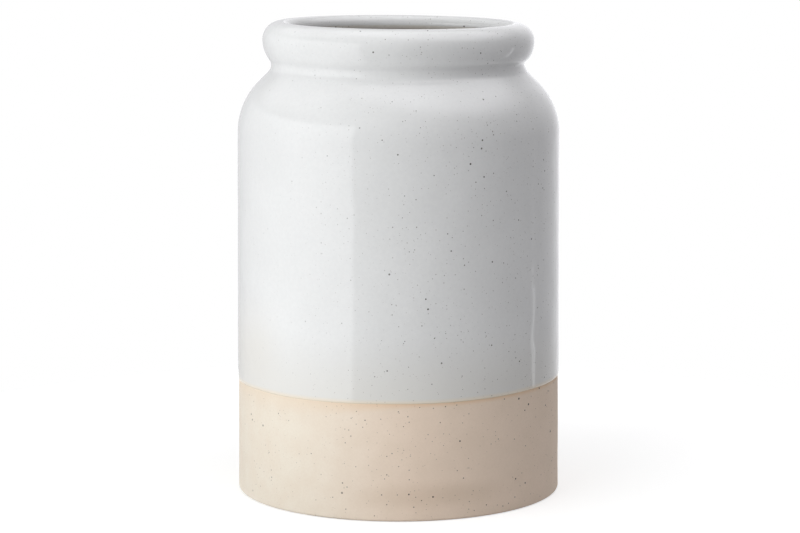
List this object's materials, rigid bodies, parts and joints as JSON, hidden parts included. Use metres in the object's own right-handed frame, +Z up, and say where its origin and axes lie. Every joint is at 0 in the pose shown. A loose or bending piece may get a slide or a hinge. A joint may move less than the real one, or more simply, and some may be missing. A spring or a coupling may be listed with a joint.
{
  "type": "utensil crock",
  "caption": "Tall stoneware utensil crock with a rounded shoulder, rolled rim and open mouth, glossy speckled white glaze over a bare buff clay base.",
  "frame": {"origin": "centre of the foot ring, on the surface that the crock stands on", "axes": "+Z up along the crock's axis, out of its mouth; +Y away from the viewer of the picture; +X to the viewer's right"},
  "size_m": [0.1314, 0.1313, 0.1902],
  "materials": {
    "bare_stoneware": "matte",
    "white_glaze": "gloss",
    "liner_glaze": "gloss"
  },
  "bodies": {
    "root": {"stoneware_body": "bare_stoneware", "outer_glaze": "white_glaze", "liner_glaze": "liner_glaze"}
  },
  "joints": []
}
